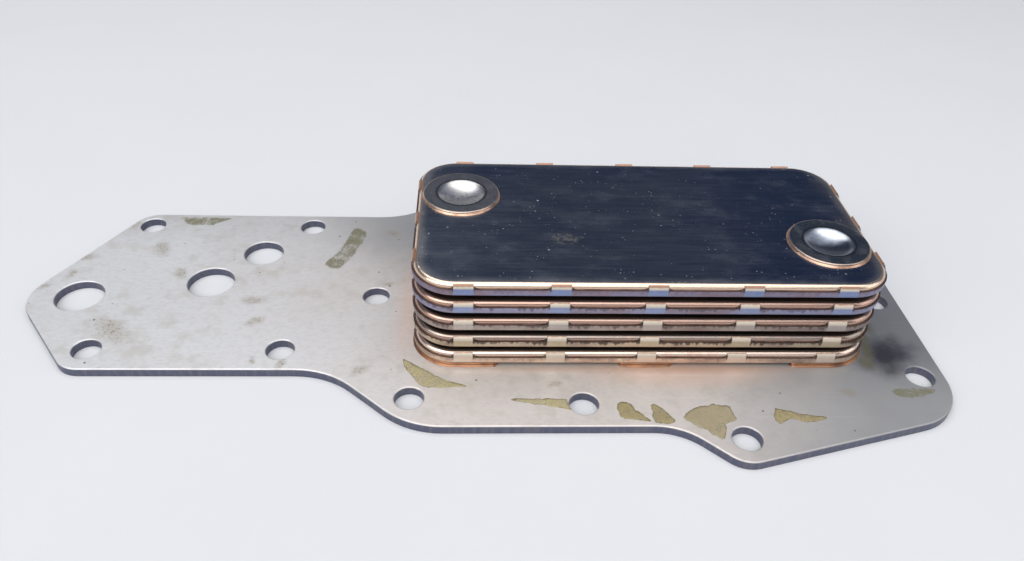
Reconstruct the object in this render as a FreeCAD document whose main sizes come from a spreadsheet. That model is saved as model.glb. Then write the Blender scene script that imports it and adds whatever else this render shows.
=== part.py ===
import FreeCAD, Part
import math
import os
import Sketcher

# Plate-type oil cooler: five pressed and brazed oil elements stacked on a
# flat bolt-on mounting plate. Frame: +X along the plate towards the core,
# +Y to the back, +Z up, origin under the middle of the plate's outline.

Vector = FreeCAD.Vector

# Driving dimensions in millimetres (diameters, not radii, for holes).
SIZES = {
    # mounting plate: outline, places measured from its left, right, front or back end
    "plate_length": 305.0,
    "plate_width": 140.0,
    "plate_thickness": 3.0,
    "plate_rim_round": 0.6,
    "nose_overrun": 2.71,          # sharp nose corner beyond the rounded tip
    "nose_rise": 34.8,             # nose corner above the neck's front edge
    "neck_corner": 24.5,           # from the left end
    "front_slope_start": 199.0,    # from the right end
    "front_slope_end": 172.4,      # from the right end
    "belly_inset": 14.2,           # from the front end
    "lobe_slope_start": 91.0,      # from the right end
    "lobe_corner": 74.9,           # from the right end
    "lobe_overrun": 1.0,           # sharp lobe corner beyond the rounded tip
    "right_corner_rise": 18.6,     # from the front end
    "back_slope_start": 179.4,     # from the right end
    "back_slope_end": 164.7,       # from the right end
    "neck_front_margin": 9.4,      # from the neck's bolt holes to its edge
    "neck_back_margin": 7.8,
    "small_radius": 9.3,
    "nose_radius": 15.0,
    "large_radius": 20.0,
    "sweep_radius": 27.0,
    # holes in the plate
    "bolt_hole": 9.0,
    "neck_bolts_inset": 59.3,      # middle of the four neck bolts from the left end
    "neck_bolts_y": 13.3,
    "neck_bolts_length": 61.0,
    "neck_bolts_width": 71.0,
    "neck_port": 16.0,
    "nose_port": 16.0,
    "nose_port_inset": 16.9,
    "nose_port_y": 5.0,
    "drain_port": 14.0,
    "drain_port_inset": 74.3,
    "drain_port_y": 31.2,
    "waist_bolt_inset": 186.9,     # from the right end
    "waist_bolt_y": 5.8,
    "slope_bolt_inset": 172.6,     # from the right end
    "slope_bolt_rise": 26.0,       # from the front end
    "belly_bolt_inset": 119.2,
    "belly_bolt_rise": 23.6,
    "lobe_bolt_inset": 72.2,
    "lobe_bolt_rise": 9.3,
    "edge_bolt_inset": 8.2,
    "edge_bolt_rise": 35.6,
    "edge_bolt_pitch": 39.1,
    "back_bolt_inset": 9.4,        # from the back end
    "back_bolt_pitch": 74.5,
    "oil_port": 16.0,
    # brazed core
    "core_length": 149.5,
    "core_width": 74.5,
    "core_corner": 13.5,
    "core_right_margin": 22.9,     # from the plate's right end
    "core_front_margin": 40.0,     # from the plate's front end
    "sheet": 0.6,
    "element_height": 4.1,
    "coolant_gap": 2.7,
    "rim_height": 2.4,
    "dish_round": 0.8,
    "shoulder": 1.5,
    "port_inset": 15.05,           # port's middle from the core's end
    "port_side_inset": 23.45,      # port's middle from the core's long side
    "port_bore": 15.0,
    "boss_diameter": 26.0,
    "tab_width": 6.1,
    "tab_foot": 1.2,
    "tab_foot_rise": 0.9,
    "tab_margin": 16.15,           # last tab's middle from the core's end
    "end_tab_margin": 16.25,       # last end tab's middle from the core's long side
    "tab_wrap": 50.0,              # degrees that a tab curls over the lid's shoulder
    # base shim
    "shim_thickness": 1.2,
    "shim_inset": 0.4,
    "shim_middle_pad": 17.0,
    "shim_end_pad": 27.0,
    "shim_bay_depth": 6.0,
    # port caps
    "cap_thickness": 1.1,
    "cap_round": 0.5,
    "dimple_diameter": 16.0,
    "dimple_depth": 2.2,
    "dimple_lip": 1.2,
    "cap_sheet": 0.7,
    "cap_clearance": 0.1,          # between the cap's underside and the port's bore
    # turbulator sheets
    "fin_sheet": 0.25,
    "fin_pitch": 3.2,
    "fin_clearance": 1.5,
    "fin_port": 19.0,
}

ELEMENTS = 5
LONG_TABS = 5
END_TABS = 3

doc = FreeCAD.newDocument("oil_cooler")


def make_sheet():
    """Write every driving dimension into a spreadsheet, one aliased cell each."""
    sheet = doc.addObject("Spreadsheet::Sheet", "dims")
    for row, (name, value) in enumerate(SIZES.items(), start=1):
        sheet.set(f"A{row}", name)
        sheet.set(f"B{row}", str(value))
        sheet.setAlias(f"B{row}", name)
    doc.recompute()
    return sheet


dims = make_sheet()


def size(name):
    return float(dims.get(name))


def new_body(name, x="0", y="0", z="0"):
    """A body whose place is bound to the spreadsheet."""
    body = doc.addObject("PartDesign::Body", name)
    body.Label = name
    for axis, rule in (("x", x), ("y", y), ("z", z)):
        body.setExpression(f".Placement.Base.{axis}", f"({rule}) * 1 mm")
    return body


def origin_item(body, role):
    return next(item for item in body.Origin.OriginFeatures if item.Role == role)


def new_sketch(body, name, plane="XY_Plane", offset=None):
    """A sketch on one of the body's own origin planes, raised along its normal."""
    sketch = body.newObject("Sketcher::SketchObject", name)
    sketch.AttachmentSupport = [(origin_item(body, plane), "")]
    sketch.MapMode = "FlatFace"
    if offset:
        sketch.setExpression(".AttachmentOffset.Base.z", f"({offset}) * 1 mm")
    return sketch


def bind(sketch, kind, where, value, name, rule):
    """Add one dimension to a sketch and bind it to the spreadsheet."""
    index = sketch.addConstraint(Sketcher.Constraint(kind, *where, value))
    sketch.renameConstraint(index, name)
    sketch.setExpression(f"Constraints.{name}", rule)


def evaluate(rule):
    """The number that a spreadsheet rule gives now, as a starting value."""
    return float(dims.evalExpression(rule))


def add_rectangle(sketch, length, width, radius=None):
    """A rectangle about the sketch's origin, with rounded corners if radius is given."""
    half_x = evaluate(length) / 2
    half_y = evaluate(width) / 2
    corner = evaluate(radius) if radius else 0.0
    ends = [
        ((-half_x + corner, -half_y), (half_x - corner, -half_y)),
        ((half_x, -half_y + corner), (half_x, half_y - corner)),
        ((half_x - corner, half_y), (-half_x + corner, half_y)),
        ((-half_x, half_y - corner), (-half_x, -half_y + corner)),
    ]
    for start, end in ends:
        sketch.addGeometry(Part.LineSegment(Vector(*start), Vector(*end)))
    if radius:
        centres = ((1, -1), (1, 1), (-1, 1), (-1, -1))
        for turn, (sign_x, sign_y) in enumerate(centres):
            middle = Vector(sign_x * (half_x - corner), sign_y * (half_y - corner))
            start = math.radians(90 * turn - 90)
            circle = Part.Circle(middle, Vector(0, 0, 1), corner)
            sketch.addGeometry(Part.ArcOfCircle(circle, start, start + math.pi / 2))
        for turn in range(4):
            sketch.addConstraint(Sketcher.Constraint("Tangent", turn, 2, 4 + turn, 1))
            sketch.addConstraint(Sketcher.Constraint("Tangent", 4 + turn, 2, (turn + 1) % 4, 1))
        for turn in range(1, 4):
            sketch.addConstraint(Sketcher.Constraint("Equal", 4, 4 + turn))
        bind(sketch, "Radius", (4,), corner, "corner", radius)
    else:
        for turn in range(4):
            sketch.addConstraint(Sketcher.Constraint("Coincident", turn, 2, (turn + 1) % 4, 1))
    sketch.addConstraint(Sketcher.Constraint("Horizontal", 2))
    sketch.addConstraint(Sketcher.Constraint("Vertical", 3))
    sketch.addConstraint(Sketcher.Constraint("Symmetric", 0, 1, 0, 2, -2))
    sketch.addConstraint(Sketcher.Constraint("Symmetric", 1, 1, 1, 2, -1))
    bind(sketch, "DistanceX", (3, 1, 1, 1), 2 * half_x, "length", length)
    bind(sketch, "DistanceY", (0, 1, 2, 2), 2 * half_y, "width", width)


def add_circle(sketch, name, diameter, x="0", y="0"):
    """A circle whose centre and diameter are bound to the spreadsheet."""
    centre = Vector(evaluate(x), evaluate(y))
    circle = Part.Circle(centre, Vector(0, 0, 1), evaluate(diameter) / 2)
    index = sketch.addGeometry(circle)
    bind(sketch, "Diameter", (index,), evaluate(diameter), f"{name}_diameter", diameter)
    bind(sketch, "DistanceX", (-1, 1, index, 3), centre.x, f"{name}_x", x)
    bind(sketch, "DistanceY", (-1, 1, index, 3), centre.y, f"{name}_y", y)


def add_polygon(sketch, points):
    """A closed polygon whose corners are bound to rules for x and y."""
    corners = [Vector(evaluate(x), evaluate(y)) for x, y in points]
    first = sketch.GeometryCount
    for index, corner in enumerate(corners):
        sketch.addGeometry(Part.LineSegment(corner, corners[(index + 1) % len(corners)]))
    for index, (x, y) in enumerate(points):
        line = first + index
        following = first + (index + 1) % len(points)
        sketch.addConstraint(Sketcher.Constraint("Coincident", line, 2, following, 1))
        bind(sketch, "DistanceX", (-1, 1, line, 1), corners[index].x, f"x{line}", x)
        bind(sketch, "DistanceY", (-1, 1, line, 1), corners[index].y, f"y{line}", y)


def add_pad(body, name, sketch, length, reverse=False):
    feature = body.newObject("PartDesign::Pad", name)
    feature.Profile = sketch
    feature.setExpression("Length", length)
    feature.Reversed = reverse
    body.Tip = feature
    doc.recompute()
    return feature


def add_pocket(body, name, sketch, length, upward=False):
    """Cut a sketch downwards, or upwards if asked, and check that it removed something."""
    before = body.Shape.Volume
    feature = body.newObject("PartDesign::Pocket", name)
    feature.Profile = sketch
    feature.setExpression("Length", length)
    feature.Reversed = upward
    body.Tip = feature
    doc.recompute()
    if not body.Shape.Volume < before:
        raise RuntimeError(f"{body.Label}: {name} cut nothing")
    return feature


def add_fillet(body, name, radius, wanted):
    """Round the edges of the body's last feature that the test function picks."""
    base = body.Tip
    edges = [f"Edge{i}" for i, edge in enumerate(base.Shape.Edges, start=1) if wanted(edge)]
    if not edges:
        raise RuntimeError(f"{body.Label}: {name} found no edge")
    feature = body.newObject("PartDesign::Fillet", name)
    feature.Base = (base, edges)
    feature.setExpression("Radius", radius)
    body.Tip = feature
    doc.recompute()
    return feature


def add_pattern(body, name, features, axis, length, count, reverse=False):
    pattern = body.newObject("PartDesign::LinearPattern", name)
    pattern.Originals = features
    pattern.Direction = (origin_item(body, axis), [""])
    pattern.Reversed = reverse
    pattern.setExpression("Length", length)
    pattern.Occurrences = count
    body.Tip = pattern
    doc.recompute()
    return pattern


def edge_at_height(edge, height):
    """True for an edge that lies flat at one height."""
    box = edge.BoundBox
    return abs(box.ZMin - height) < 1e-4 and abs(box.ZMax - height) < 1e-4


# Rules for the places that several pieces share.
LEFT = "-dims.plate_length / 2"
RIGHT = "dims.plate_length / 2"
FRONT = "-dims.plate_width / 2"
BACK = "dims.plate_width / 2"
CORE_X = f"{RIGHT} - dims.core_right_margin - dims.core_length / 2"
CORE_Y = f"{FRONT} + dims.core_front_margin + dims.core_width / 2"
PITCH = "(dims.element_height + dims.coolant_gap)"
CORE_BASE = "(dims.plate_thickness + dims.shim_thickness)"


def port_rules(side):
    """Where an oil port stands on the core: left and back, or right and front."""
    sign = -1 if side == "left" else 1
    x = f"{sign} * (dims.core_length / 2 - dims.port_inset)"
    y = f"{-sign} * (dims.core_width / 2 - dims.port_side_inset)"
    return x, y


def core_body(name, z):
    return new_body(name, CORE_X, CORE_Y, z)


def element_base(index):
    return f"{CORE_BASE} + {index} * {PITCH}"


def plate_corners():
    """Corners of the plate's outline before rounding, each with its radius's name."""
    left, right = LEFT, RIGHT
    neck_front = "dims.neck_bolts_y - dims.neck_bolts_width / 2 - dims.neck_front_margin"
    neck_back = "dims.neck_bolts_y + dims.neck_bolts_width / 2 + dims.neck_back_margin"
    belly = f"{FRONT} + dims.belly_inset"
    return [
        (f"{left} + dims.neck_corner", neck_front, "small_radius"),
        (f"{right} - dims.front_slope_start", neck_front, "sweep_radius"),
        (f"{right} - dims.front_slope_end", belly, "sweep_radius"),
        (f"{right} - dims.lobe_slope_start", belly, "large_radius"),
        (f"{right} - dims.lobe_corner", f"{FRONT} - dims.lobe_overrun", "small_radius"),
        (right, f"{FRONT} + dims.right_corner_rise", "large_radius"),
        (right, BACK, "nose_radius"),
        (f"{right} - dims.back_slope_end", BACK, "large_radius"),
        (f"{right} - dims.back_slope_start", neck_back, "sweep_radius"),
        (f"{left} + dims.neck_corner", neck_back, "small_radius"),
        (f"{left} - dims.nose_overrun", f"{neck_front} + dims.nose_rise", "nose_radius"),
    ]


def plate_holes():
    """Every hole in the plate as (name, diameter, x, y)."""
    neck_x = f"{LEFT} + dims.neck_bolts_inset"
    holes = [
        ("nose_port", "dims.nose_port", f"{LEFT} + dims.nose_port_inset", "dims.nose_port_y"),
        ("neck_port", "dims.neck_port", neck_x, "dims.neck_bolts_y"),
        ("drain_port", "dims.drain_port", f"{LEFT} + dims.drain_port_inset", "dims.drain_port_y"),
    ]
    for side in ("left", "right"):
        x, y = port_rules(side)
        holes.append((f"oil_port_{side}", "dims.oil_port", f"{CORE_X} + {x}", f"{CORE_Y} + {y}"))
    bolts = [(f"{RIGHT} - dims.waist_bolt_inset", "dims.waist_bolt_y")]
    for name in ("slope", "belly", "lobe"):
        bolts.append((f"{RIGHT} - dims.{name}_bolt_inset", f"{FRONT} + dims.{name}_bolt_rise"))
    for sign_x in (-1, 1):
        for sign_y in (-1, 1):
            bolts.append((f"{neck_x} + {sign_x} * dims.neck_bolts_length / 2",
                          f"dims.neck_bolts_y + {sign_y} * dims.neck_bolts_width / 2"))
    edge_x = f"{RIGHT} - dims.edge_bolt_inset"
    for step in range(2):
        bolts.append((edge_x, f"{FRONT} + dims.edge_bolt_rise + {step} * dims.edge_bolt_pitch"))
    for step in range(3):
        bolts.append((f"{edge_x} - {step} * dims.back_bolt_pitch", f"{BACK} - dims.back_bolt_inset"))
    holes += [(f"bolt_{i}", "dims.bolt_hole", x, y) for i, (x, y) in enumerate(bolts, start=1)]
    return holes


def make_plate():
    body = new_body("mounting_plate")
    outline = new_sketch(body, "plate_outline")
    corners = plate_corners()
    add_polygon(outline, [(x, y) for x, y, radius in corners])
    add_pad(body, "plate_pad", outline, "dims.plate_thickness")
    for radius in sorted({name for x, y, name in corners}):
        places = [(evaluate(x), evaluate(y)) for x, y, name in corners if name == radius]

        def at_corner(edge):
            box = edge.BoundBox
            upright = box.ZLength > evaluate("dims.plate_thickness") / 2
            thin = max(box.XLength, box.YLength) < 1e-4
            return upright and thin and any(
                math.hypot(box.XMin - x, box.YMin - y) < 1e-3 for x, y in places)

        add_fillet(body, f"outline_{radius}", f"dims.{radius}", at_corner)
    sketch = new_sketch(body, "plate_hole_sketch", offset="dims.plate_thickness")
    for name, diameter, x, y in plate_holes():
        add_circle(sketch, name, diameter, x, y)
    add_pocket(body, "plate_holes", sketch, "dims.plate_thickness")
    top = evaluate("dims.plate_thickness")
    add_fillet(body, "plate_rim", "dims.plate_rim_round", lambda edge: edge_at_height(edge, top))
    return body


def make_shim():
    """The flat spacer that carries the lowest dish, with open bays along both long sides."""
    body = core_body("base_shim", "dims.plate_thickness")
    outline = new_sketch(body, "shim_outline")
    inset = "2 * dims.shim_inset"
    add_rectangle(outline, f"dims.core_length - {inset}", f"dims.core_width - {inset}",
                  "dims.core_corner - dims.shim_inset")
    add_pad(body, "shim_pad", outline, "dims.shim_thickness")
    cuts = new_sketch(body, "shim_cut_sketch", offset="dims.shim_thickness")
    for side in ("left", "right"):
        x, y = port_rules(side)
        add_circle(cuts, f"port_{side}", "dims.port_bore", x, y)
    for sign_x in (-1, 1):
        inner = f"{sign_x} * dims.shim_middle_pad / 2"
        outer = f"{sign_x} * (dims.core_length / 2 - dims.shim_end_pad)"
        for sign_y in (-1, 1):
            edge = f"{sign_y} * dims.core_width / 2"
            floor = f"{sign_y} * (dims.core_width / 2 - dims.shim_bay_depth)"
            add_polygon(cuts, [(inner, edge), (outer, edge), (outer, floor), (inner, floor)])
    add_pocket(body, "shim_cuts", cuts, "dims.shim_thickness")
    return body


def curl_points(outer_x):
    """Cross-section of a curled tab: corners and arc middles, for the side that outer_x names.

    The strip stands on the dish's rim, flush with its wall, and its top is
    bent over the lid's shoulder with no gap between them.
    """
    sign = 1 if outer_x > 0 else -1
    sheet = size("sheet")
    inner_radius = size("shoulder")
    bend = size("element_height") - inner_radius
    middle_x = abs(outer_x) - sheet - inner_radius
    wrap = math.radians(size("tab_wrap"))

    def on_arc(radius, angle):
        return Vector(sign * (middle_x + radius * math.cos(angle)), bend + radius * math.sin(angle))

    rim = size("rim_height")
    outer_radius = inner_radius + sheet
    return {
        "foot": (Vector(sign * abs(outer_x), rim), Vector(sign * (abs(outer_x) - sheet), rim)),
        "outer": [on_arc(outer_radius, wrap * part) for part in (0, 0.5, 1)],
        "inner": [on_arc(inner_radius, wrap * part) for part in (1, 0.5, 0)],
    }


def add_curl(sketch, outer_x):
    """Draw one tab's cross-section as a closed loop of lines and arcs."""
    points = curl_points(outer_x)
    foot_out, foot_in = points["foot"]
    outer, inner = points["outer"], points["inner"]
    sketch.addGeometry(Part.LineSegment(foot_out, outer[0]))
    sketch.addGeometry(Part.Arc(*outer))
    sketch.addGeometry(Part.LineSegment(outer[2], inner[0]))
    sketch.addGeometry(Part.Arc(*inner))
    sketch.addGeometry(Part.LineSegment(inner[2], foot_in))
    sketch.addGeometry(Part.LineSegment(foot_in, foot_out))


def add_feet(body, name, plane, offset, places, reverse):
    """Sloped feet that widen each tab where it leaves the rim, along one side of the dish."""
    sketch = new_sketch(body, f"{name}_sketch", plane, offset)
    low, high = "dims.rim_height", "dims.rim_height + dims.tab_foot_rise"
    for place in places:
        for sign in (-1, 1):
            inner = f"{place} + {sign} * dims.tab_width / 2"
            outer = f"{inner} + {sign} * dims.tab_foot"
            add_polygon(sketch, [(inner, low), (outer, low), (inner, high)])
    return add_pad(body, name, sketch, "dims.sheet", reverse)


def tab_places(count, span):
    """Rules for evenly spaced tab middles, over a span between the first and the last."""
    return [f"({step} / {count - 1} - 0.5) * ({span})" for step in range(count)]


def add_tabs(body):
    """Curled tabs on all four sides, each a strip patterned along its side."""
    sides = (
        ("long", "YZ_Plane", "X_Axis", "core_width", "core_length", "tab_margin", LONG_TABS, 1),
        ("end", "XZ_Plane", "Y_Axis", "core_length", "core_width", "end_tab_margin", END_TABS, -1),
    )
    for name, plane, axis, across, along, margin, count, facing in sides:
        span = f"(dims.{along} - 2 * dims.{margin})"
        sketch = new_sketch(body, f"{name}_tab_sketch", plane, f"-{span} / 2 - dims.tab_width / 2")
        for sign in (-1, 1):
            add_curl(sketch, sign * size(across) / 2)
        tab = add_pad(body, f"{name}_tab", sketch, "dims.tab_width")
        add_pattern(body, f"{name}_tabs", [tab], axis, span, count, reverse=facing < 0)
    long_places = tab_places(LONG_TABS, "dims.core_length - 2 * dims.tab_margin")
    end_places = tab_places(END_TABS, "dims.core_width - 2 * dims.end_tab_margin")
    half_width, half_length = "dims.core_width / 2", "dims.core_length / 2"
    add_feet(body, "front_feet", "XZ_Plane", half_width, long_places, True)
    add_feet(body, "back_feet", "XZ_Plane", f"-{half_width}", long_places, False)
    add_feet(body, "right_feet", "YZ_Plane", half_length, end_places, True)
    add_feet(body, "left_feet", "YZ_Plane", f"-{half_length}", end_places, False)


def add_port_holes(body, diameter, top, depth):
    """Both oil ports, cut down from a height through the given depth."""
    sketch = new_sketch(body, "port_hole_sketch", offset=top)
    for side in ("left", "right"):
        x, y = port_rules(side)
        add_circle(sketch, f"port_{side}", diameter, x, y)
    add_pocket(body, "port_holes", sketch, depth)


def make_dish(index):
    """An element's lower half: a shallow tray whose tabs curl over the lid."""
    body = core_body(f"lower_dish_{index + 1}", element_base(index))
    outline = new_sketch(body, "dish_outline")
    add_rectangle(outline, "dims.core_length", "dims.core_width", "dims.core_corner")
    add_pad(body, "dish_pad", outline, "dims.rim_height")
    add_fillet(body, "dish_round", "dims.dish_round", lambda edge: edge_at_height(edge, 0.0))
    inside = new_sketch(body, "dish_inside", offset="dims.rim_height")
    add_rectangle(inside, "dims.core_length - 2 * dims.sheet", "dims.core_width - 2 * dims.sheet",
                  "dims.core_corner - dims.sheet")
    add_pocket(body, "dish_hollow", inside, "dims.rim_height - dims.sheet")
    add_port_holes(body, "dims.port_bore", "dims.sheet", "dims.sheet")
    add_tabs(body)
    return body


def make_lid(index):
    """An element's upper half: a tray turned upside down inside the dish's wall."""
    body = core_body(f"upper_lid_{index + 1}", f"{element_base(index)} + dims.sheet")
    height = "dims.element_height - dims.sheet"
    inset = "2 * dims.sheet"
    outline = new_sketch(body, "lid_outline")
    add_rectangle(outline, f"dims.core_length - {inset}", f"dims.core_width - {inset}",
                  "dims.core_corner - dims.sheet")
    add_pad(body, "lid_pad", outline, height)
    top = evaluate(height)
    add_fillet(body, "lid_shoulder", "dims.shoulder", lambda edge: edge_at_height(edge, top))
    inside = new_sketch(body, "lid_inside")
    add_rectangle(inside, f"dims.core_length - 2 * {inset}", f"dims.core_width - 2 * {inset}",
                  "dims.core_corner - 2 * dims.sheet")
    add_pocket(body, "lid_hollow", inside, f"{height} - dims.sheet", upward=True)
    ceiling = evaluate(f"{height} - dims.sheet")
    add_fillet(body, "lid_inner_shoulder", "dims.shoulder - dims.sheet",
               lambda edge: edge_at_height(edge, ceiling))
    add_port_holes(body, "dims.port_bore", height, "dims.sheet")
    return body


def fin_points():
    """Outline of the turbulator's square-wave section: a strip of even thickness, as (y, z)."""
    sheet = size("fin_sheet")
    step = size("fin_pitch") / 2
    height = evaluate("dims.element_height - 2 * dims.sheet")
    room = evaluate("dims.core_width - 4 * dims.sheet - 2 * dims.fin_clearance")
    runs = 2 * int(room / step / 2) - 1
    start = -runs * step / 2
    upper, lower = [], []
    for run in range(runs):
        raised = run % 2 == 0
        grow = sheet / 2 if raised else -sheet / 2
        near, far = start + run * step, start + (run + 1) * step
        top = height if raised else sheet
        upper += [(near - grow, top), (far + grow, top)]
        lower += [(near + grow, top - sheet), (far - grow, top - sheet)]
    return upper + lower[::-1]


def make_turbulator(index):
    """A corrugated sheet that fills an element from its floor to its lid."""
    body = core_body(f"turbulator_{index + 1}", f"{element_base(index)} + dims.sheet")
    inset = "4 * dims.sheet + 2 * dims.fin_clearance"
    section = new_sketch(body, "fin_section", "YZ_Plane", f"-(dims.core_length - ({inset})) / 2")
    points = [Vector(y, z) for y, z in fin_points()]
    for near, far in zip(points, points[1:] + points[:1]):
        section.addGeometry(Part.LineSegment(near, far))
    add_pad(body, "fin_pad", section, f"dims.core_length - ({inset})")
    height = "dims.element_height - 2 * dims.sheet"
    trim = new_sketch(body, "fin_trim_sketch", offset=height)
    add_rectangle(trim, f"dims.core_length - ({inset})", f"dims.core_width - ({inset})",
                  "dims.core_corner - 2 * dims.sheet")
    half_length, half_width = "dims.core_length / 2", "dims.core_width / 2"
    add_polygon(trim, [(f"{x} * {half_length}", f"{y} * {half_width}")
                       for x, y in ((-1, -1), (1, -1), (1, 1), (-1, 1))])
    add_pocket(body, "fin_trim", trim, height)
    ports = new_sketch(body, "fin_port_sketch", offset=height)
    for side in ("left", "right"):
        x, y = port_rules(side)
        add_circle(ports, f"port_{side}", "dims.fin_port", x, y)
    add_pocket(body, "fin_ports", ports, height)
    return body


def port_body(name, side, z):
    x, y = port_rules(side)
    return new_body(name, f"{CORE_X} + {x}", f"{CORE_Y} + {y}", z)


def make_spacer(side, index):
    """A ring that carries oil across one coolant gap."""
    z = f"{element_base(index)} + dims.element_height"
    body = port_body(f"port_spacer_{side}_{index + 1}", side, z)
    sketch = new_sketch(body, "ring")
    add_circle(sketch, "outside", "dims.boss_diameter")
    add_circle(sketch, "bore", "dims.port_bore")
    add_pad(body, "ring_pad", sketch, "dims.coolant_gap")
    return body


def bowl_arc(radius, depth, rim):
    """A shallow bowl's arc as three points, from its middle out to its rim."""
    ball = (radius ** 2 + depth ** 2) / (2 * depth)

    def point(reach):
        return Vector(reach, rim - depth + ball - math.sqrt(ball ** 2 - reach ** 2))

    return [point(radius * part) for part in (0, 0.5, 1)]


def make_cap(side):
    """The plug that closes an oil port on the top lid: a disc with a sunken middle."""
    body = port_body(f"port_cap_{side}", side,
                     f"{element_base(ELEMENTS - 1)} + dims.element_height")
    thickness = size("cap_thickness")
    depth = size("dimple_depth")
    reach = size("boss_diameter") / 2
    bowl = bowl_arc(size("dimple_diameter") / 2, depth, thickness)
    belly = bowl_arc(size("port_bore") / 2 - size("cap_clearance"),
                     depth + size("cap_sheet") - thickness, 0.0)
    sketch = new_sketch(body, "cap_section", "XZ_Plane")
    sketch.addGeometry(Part.Arc(*bowl))
    sketch.addGeometry(Part.LineSegment(bowl[2], Vector(reach, thickness)))
    sketch.addGeometry(Part.LineSegment(Vector(reach, thickness), Vector(reach, 0)))
    sketch.addGeometry(Part.LineSegment(Vector(reach, 0), belly[2]))
    sketch.addGeometry(Part.Arc(*belly[::-1]))
    sketch.addGeometry(Part.LineSegment(belly[0], bowl[0]))
    turn = body.newObject("PartDesign::Revolution", "cap_turn")
    turn.Profile = sketch
    turn.ReferenceAxis = (sketch, ["V_Axis"])
    turn.Angle = 360
    body.Tip = turn
    doc.recompute()

    def ring_at(radius):
        def is_ring(edge):
            flat = edge_at_height(edge, thickness)
            return flat and abs(edge.BoundBox.XLength / 2 - radius) < 1e-3
        return is_ring

    add_fillet(body, "dimple_lip", "dims.dimple_lip", ring_at(bowl[2].x))
    add_fillet(body, "cap_round", "dims.cap_round", ring_at(reach))
    return body


def make_all():
    bodies = [make_plate(), make_shim()]
    for index in range(ELEMENTS):
        bodies += [make_dish(index), make_turbulator(index), make_lid(index)]
    for index in range(ELEMENTS - 1):
        bodies += [make_spacer(side, index) for side in ("left", "right")]
    bodies += [make_cap(side) for side in ("left", "right")]
    return bodies


def check(bodies):
    """Stop if anything failed to build, before a file is written."""
    for item in doc.Objects:
        if {"Invalid", "Error"} & set(item.State):
            raise RuntimeError(f"{item.Label} failed: {item.State}")
    for body in bodies:
        shape = body.Shape
        if shape.isNull() or not shape.isValid() or len(shape.Solids) != 1:
            raise RuntimeError(f"{body.Label} is not one valid solid")


def export(bodies):
    os.makedirs("parts", exist_ok=True)
    for body in bodies:
        body.Shape.exportStep(f"parts/{body.Label}.step")
        print(f"{body.Label}: {body.Shape.Volume:.0f} mm3")


sub_parts = make_all()
doc.recompute()
check(sub_parts)
export(sub_parts)
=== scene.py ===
import math

import bmesh
import bpy
from mathutils import Matrix, Vector, geometry, noise


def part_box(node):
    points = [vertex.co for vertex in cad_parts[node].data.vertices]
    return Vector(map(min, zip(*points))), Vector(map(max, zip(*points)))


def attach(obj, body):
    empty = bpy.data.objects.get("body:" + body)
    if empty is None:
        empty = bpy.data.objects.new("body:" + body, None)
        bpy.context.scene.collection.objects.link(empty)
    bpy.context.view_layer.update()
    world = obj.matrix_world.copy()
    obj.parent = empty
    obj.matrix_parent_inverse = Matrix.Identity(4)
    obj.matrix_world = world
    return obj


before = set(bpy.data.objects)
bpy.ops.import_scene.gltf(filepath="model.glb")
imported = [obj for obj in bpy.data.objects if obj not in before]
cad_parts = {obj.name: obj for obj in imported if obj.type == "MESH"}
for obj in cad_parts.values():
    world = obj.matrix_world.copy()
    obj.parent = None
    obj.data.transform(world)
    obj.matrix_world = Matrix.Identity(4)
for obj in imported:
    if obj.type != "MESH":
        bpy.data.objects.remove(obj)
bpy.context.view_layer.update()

mm = 0.001
elementCount = 5

# Places read from the frame, in millimetres


def edges(node):
    low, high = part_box(node)
    return low / mm, high / mm


plateTop = edges("mounting_plate")[1].z
coreLow, coreHigh = edges("lower_dish_1")
coreMiddle = (coreLow + coreHigh) / 2
coreHalfX = (coreHigh.x - coreLow.x) / 2
coreHalfY = (coreHigh.y - coreLow.y) / 2
dishBase = [edges(f"lower_dish_{i + 1}")[0].z for i in range(elementCount)]
lidTop = edges(f"upper_lid_{elementCount}")[1].z

core = {
    "corner": 13.5,           # outer corner radius of the dishes
    "sheet": 0.6,
    "rimHeight": 2.4,         # dish wall above its underside
    "tabWidth": 6.1,
    "tabFoot": 1.2,
    "longTabs": 5,
    "endTabs": 3,
    "tabMargin": 16.15,       # last tab from the end of a long side
    "endTabMargin": 16.25,
    "middlePad": 17.0,        # width of the shim between its two bays
    "endPad": 27.0,           # length of the shim beyond each bay
}


# Material building: Wire is a socket that can stand in sums, Nodes is a node tree, Finish is one material


def plug(tree, socket, value):
    if isinstance(value, Wire):
        tree.links.new(value.socket, socket)
    else:
        socket.default_value = value


class Wire:
    def __init__(self, tree, socket):
        self.tree = tree
        self.socket = socket

    def calc(self, operation, first, second=0.0):
        made = self.tree.nodes.new("ShaderNodeMath")
        made.operation = operation
        plug(self.tree, made.inputs[0], first)
        plug(self.tree, made.inputs[1], second)
        return Wire(self.tree, made.outputs[0])

    def __add__(self, other):
        return self.calc("ADD", self, other)

    def __radd__(self, other):
        return self.calc("ADD", other, self)

    def __sub__(self, other):
        return self.calc("SUBTRACT", self, other)

    def __rsub__(self, other):
        return self.calc("SUBTRACT", other, self)

    def __mul__(self, other):
        return self.calc("MULTIPLY", self, other)

    def __rmul__(self, other):
        return self.calc("MULTIPLY", other, self)

    def __pow__(self, other):
        return self.calc("POWER", self, other)

    def __rpow__(self, other):
        return self.calc("POWER", other, self)

    def __abs__(self):
        return self.calc("ABSOLUTE", self)

    def least(self, other):
        return self.calc("MINIMUM", self, other)

    def most(self, other):
        return self.calc("MAXIMUM", self, other)


def asColour(value):
    return value if isinstance(value, Wire) else (*value, 1.0)


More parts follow.
